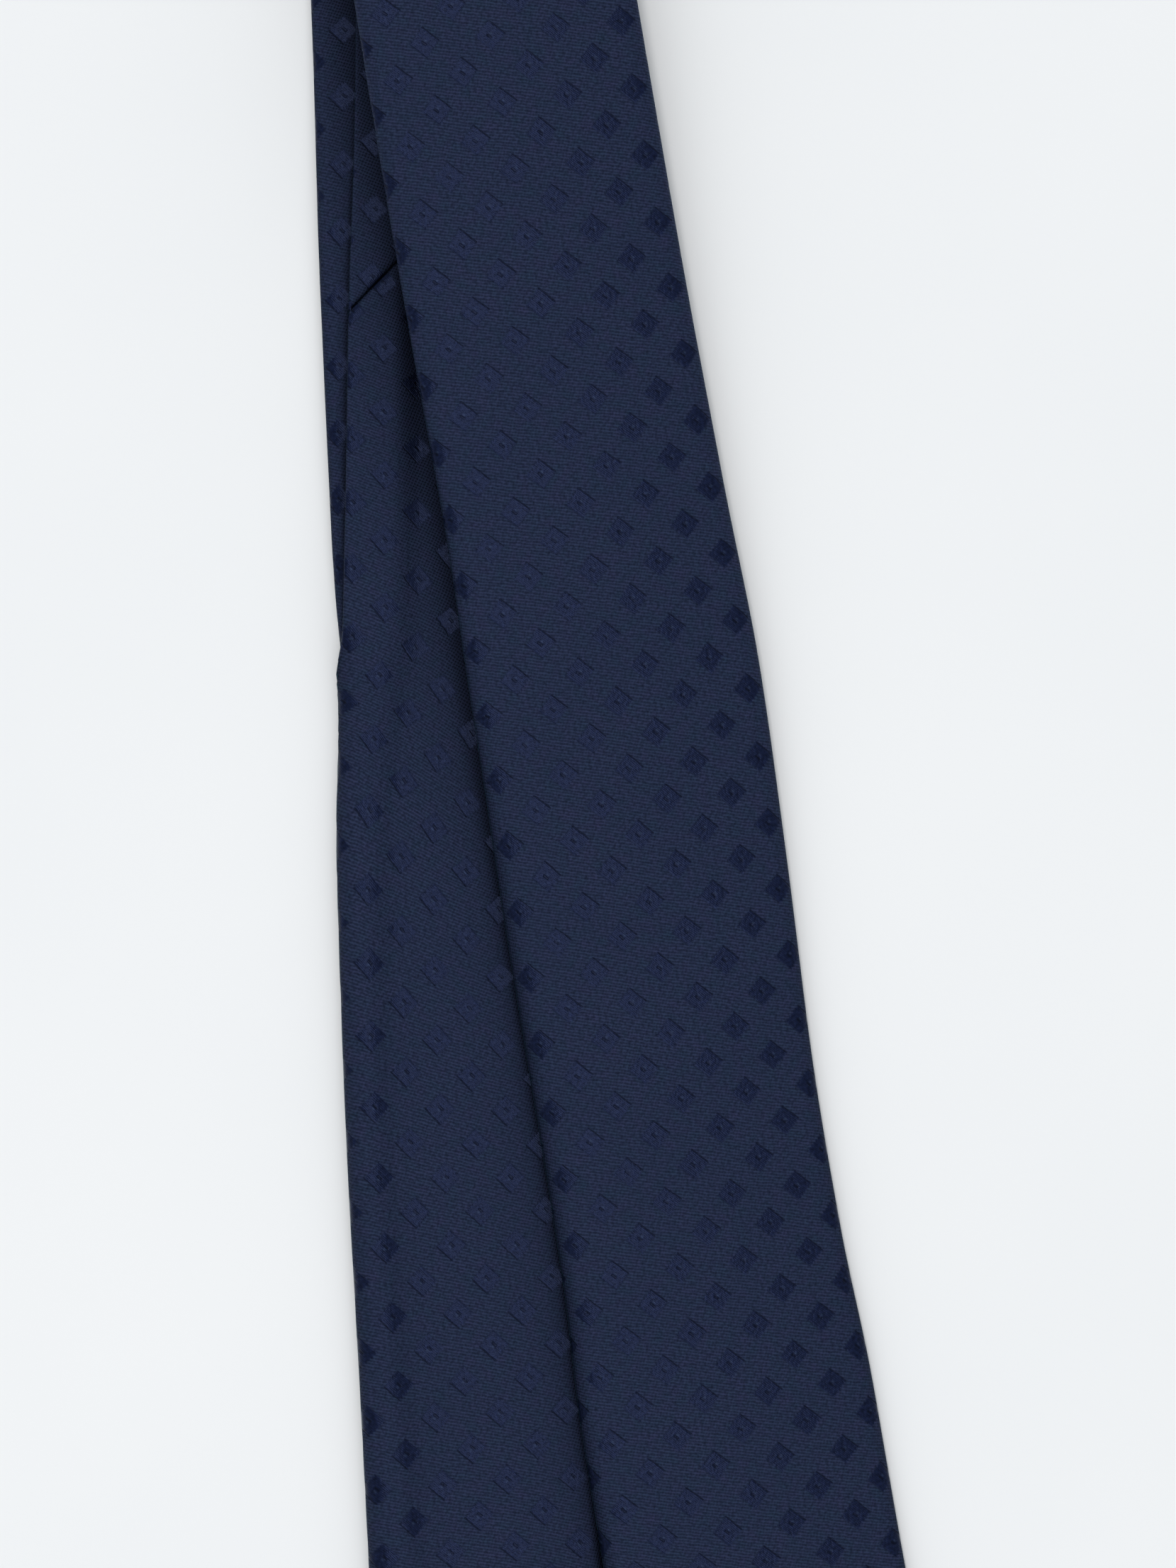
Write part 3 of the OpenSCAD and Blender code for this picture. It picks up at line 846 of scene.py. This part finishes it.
def seam_stitches(seam):
    """Stitches inside a bias seam, on the front and the back of the strip."""
    points, _ = along_column(seam, ALL_COLUMNS)
    points = points + inward_normals(seam[None], ALL_COLUMNS[None])[0] * SEAM_TUCK[0]
    skipped = HEM_COLS + TURN_COLS + 8
    run = points[skipped:-skipped]
    steps = np.linalg.norm(np.diff(run, axis=0), axis=1)
    at = np.concatenate([[0], np.cumsum(steps)])
    long, pitch = 2, 3

    def place(s):
        return np.array([np.interp(s, at, run[:, k]) for k in range(3)])
    return [(place(s), place(s + long)) for s in np.arange(long, at[-1] - 2 * long, pitch)]


def one_stitch(v, x, z, long, across):
    """A stitch centred on a point of the strip, across or along it."""
    half = long / 2
    if across:
        return on_strip(v, x - half, z), on_strip(v, x + half, z)
    return on_strip(v - half, x, z), on_strip(v + half, x, z)


# Heights in the strip: its back, and what lies on it
BACK_Z = THICK / 2
STITCH_Z = BACK_Z + 0.14
LABEL_Z = BACK_Z + 0.2
TAG_Z = BACK_Z + 0.36
KEEPER_V = BEND + BLADE_LEN - KEEPER_UP
KEEPER_HALF = 26                 # half of its length, across the blade


def patch(name, v, x, width, length, z, thickness, material, body):
    """A small flat piece of cloth laid on the back of the strip: width across, length along."""
    columns, rows = 29, 25
    across = np.sin(np.linspace(-math.pi / 2, math.pi / 2, columns)) * width / 2
    along = np.sin(np.linspace(-math.pi / 2, math.pi / 2, rows)) * length / 2
    gx, gv = np.meshgrid(across, along)
    edge = np.minimum(width / 2 - np.abs(gx), length / 2 - np.abs(gv))
    lift = 0.12 * smoothstep(0, 3, edge) + 0.03 * np.sin(gx * 0.9 + gv * 0.35)
    points = on_strip(v + gv, x + gx, z + lift)
    uv = np.stack([gx, gv], axis=2)
    piece = new_mesh(name + "_cloth", points.reshape(-1, 3), grid_faces(rows, columns), material,
                     uv.reshape(-1, 2))
    thicken(piece, thickness, offset=0)
    set_declared(piece, [name], body=body)
    return piece


def keeper_strap():
    """A folded strap of the tie's silk across the blade's back, sewn down at both ends."""
    half_l, half_w, half_thick = KEEPER_HALF, 6, 0.26
    x = np.linspace(-half_l, half_l, 45)
    middle = BACK_Z + 0.19 + 0.44 * smoothstep(0, 2.5, half_l - np.abs(x))
    ring = np.linspace(0, 2 * math.pi, 24, endpoint=False)
    across = np.sign(np.cos(ring)) * np.abs(np.cos(ring)) ** 0.45 * half_w
    up = np.sign(np.sin(ring)) * np.abs(np.sin(ring)) ** 0.6
    points, uv = [], []
    for i in range(len(x)):
        for k in range(len(ring)):
            points.append(on_strip(KEEPER_V + across[k], x[i], middle[i] + half_thick * up[k]))
            uv.append((x[i] + 3.1, across[k] + (0 if up[k] > 0 else 2 * half_w)))
    faces = grid_faces(len(x), len(ring), closed=True)
    faces.append(tuple(range(len(ring))))
    faces.append(tuple(reversed([len(points) - len(ring) + k for k in range(len(ring))])))
    piece = new_mesh("keeper_strap", points, faces, SILK, uv)
    set_declared(piece, ["keeper_loop"], body="blade_end")
    return piece


add_camera()
add_surroundings()

# The cloth
tail_end_line = np.full(COLUMNS, -TAIL_LEN + TIP_HALF_W)
blade_end_line = np.full(COLUMNS, BEND + BLADE_LEN - TIP_HALF_W)
tail_seam, blade_seam = seam_line(TAIL_SEAM), seam_line(BLADE_SEAM)

fold_foot, fold_top = np.zeros(COLUMNS), np.full(COLUMNS, BEND)
neck_tail_side = shell("neck_tail_side", tail_seam, fold_foot, seams=(True, False))
neck_fold = shell("neck_fold_cloth", fold_foot, fold_top, step=0.8, seams=(False, False))
neck_blade_side = shell("neck_blade_side", fold_top, blade_seam, seams=(False, True))
tail_shell = shell("tail_shell", tail_end_line, tail_seam, seams=(False, True), shift=(1.9, 0.9))
blade_shell = shell("blade_shell", blade_seam, blade_end_line, seams=(True, False),
                    shift=(-1.4, 0.0))

# The fold bends between the top of the tail and the bottom of the blade where they leave it
fold_low = along_column(fold_foot, ALL_COLUMNS)[0][:, 2].max() + 0.1
fold_high = along_column(fold_top, ALL_COLUMNS)[0][:, 2].min() - 0.1


def fold_zone(low, high):
    """Start and end points of the stretch that bends at the neck fold."""
    return tuple((FOLD_X * MM, FOLD_Y * MM, z * MM) for z in (low, high))


def hinge_zone(middle, sign, half=9):
    """Start and end points of the stretch that bends at a folding line."""
    return tuple(tuple(on_strip(middle + sign * side * half, 0, 0) * MM) for side in (-1, 1))


TAIL_BEND = ("tail", "tail_end") + hinge_zone(-TAIL_HINGE, -1)
BLADE_BEND = ("blade", "blade_end") + hinge_zone(BEND + BLADE_HINGE, 1)
NECK_BEND = ("tail", "blade") + fold_zone(fold_low, fold_high)
WOOL_BEND = ("tail", "blade") + fold_zone(1.6, THICK + 2 * FOLD_R - 1.6)

set_declared(neck_tail_side, ["neck_shell_tail_side"], body="tail")
set_declared(neck_fold, ["neck_shell_fold"], joint=NECK_BEND)
set_declared(neck_blade_side, ["neck_shell_blade_side"], body="blade")
set_declared(tail_shell, ["tail_shell_upper", "tail_shell_lower"], joint=TAIL_BEND)
set_declared(blade_shell, ["blade_shell_upper", "blade_shell_lower"], joint=BLADE_BEND)

# The inside
WOOL_GAP, WOOL_SHORT = 0.4, 12   # between the cuts at the fold, and short of each point
neck_wool = interlining("neck_interlining", WOOL_GAP, BEND - WOOL_GAP)
tail_wool = interlining("tail_interlining", -TAIL_LEN + WOOL_SHORT, -WOOL_GAP)
blade_wool = interlining("blade_interlining", BEND + WOOL_GAP, BEND + BLADE_LEN - WOOL_SHORT)
set_declared(neck_wool, ["neck_interlining_fold"], joint=WOOL_BEND)
set_declared(tail_wool, ["tail_interlining_upper", "tail_interlining_lower"],
             joint=TAIL_BEND)
set_declared(blade_wool, ["blade_interlining_upper", "blade_interlining_lower"],
             joint=BLADE_BEND)

tail_lining = tipping("tail_lining", False)
blade_lining = tipping("blade_lining", True)
set_declared(tail_lining, ["tail_tipping"], body="tail_end")
set_declared(blade_lining, ["blade_tipping"], body="blade_end")

# The stitches, which keep clear of the folds. The tail's stop where its seam rolls under.
CLEAR, ROLLED_UNDER = 12, 210
threads("tail_slip_stitches", slip_stitches(-ROLLED_UNDER, -6), "tail")
threads("tail_end_slip_stitches",
        slip_stitches(-TAIL_LEN + TAIL_TACK + 4, -TAIL_HINGE - CLEAR), "tail_end")
threads("blade_slip_stitches", slip_stitches(BEND + 6, BEND + BLADE_HINGE - CLEAR), "blade")
threads("blade_end_slip_stitches",
        slip_stitches(BEND + BLADE_HINGE + CLEAR, BEND + BLADE_LEN - BLADE_TACK - 4), "blade_end")
threads("neck_tail_seam_stitches", seam_stitches(tail_seam), body="tail")
threads("neck_blade_seam_stitches", seam_stitches(blade_seam), body="blade")


def bar_tack(name, v_tack, sign, body):
    """Four long stitches side by side across the end of the back seam."""
    long, pitch, z = 7, 0.33, BACK_Z + 0.12
    rows = [one_stitch(v_tack + sign * (1.5 + pitch * row), 0.15 * (-1) ** row, z, long, True)
            for row in range(4)]
    threads(name, rows, body=body)


bar_tack("tail_bar_tack", -TAIL_LEN + TAIL_TACK, 1, "tail_end")
bar_tack("blade_bar_tack", BEND + BLADE_LEN - BLADE_TACK, -1, "blade_end")

# The keeper, and the label below it
STITCH = 1.4                     # length of a short stitch
keeper = keeper_strap()
threads("keeper_stitches",
        [one_stitch(KEEPER_V + step, side * (KEEPER_HALF + 0.3), STITCH_Z, STITCH, True)
         for side in (-1, 1) for step in (-4.5, -2.7, -0.9, 0.9, 2.7, 4.5)], body="blade_end")

LABEL_V, LABEL_WIDE, LABEL_LONG = KEEPER_V + 31, 34, 22
label = patch("label", LABEL_V, 0, LABEL_WIDE, LABEL_LONG, LABEL_Z, 0.2, LABEL,
              "blade_end")
threads("label_stitches",
        [one_stitch(LABEL_V + step, side * LABEL_WIDE / 2, LABEL_Z + 0.1, STITCH, True)
         for side in (-1, 1) for step in range(-9, 10, 2)], body="blade_end")

# The care tag, sewn down along its end nearer the fold
TAG_V, TAG_X, TAG_WIDE, TAG_LONG = -TAIL_HINGE - 50, 6, 16, 22
tag = patch("care_tag", TAG_V - TAG_LONG / 2, TAG_X, TAG_WIDE, TAG_LONG, TAG_Z, 0.2, TAPE,
            "care_tag")
threads("care_tag_stitches",
        [one_stitch(TAG_V + 0.6, TAG_X + step, BACK_Z + 0.3, STITCH, False)
         for step in range(-6, 7, 2)], body="tail_end")
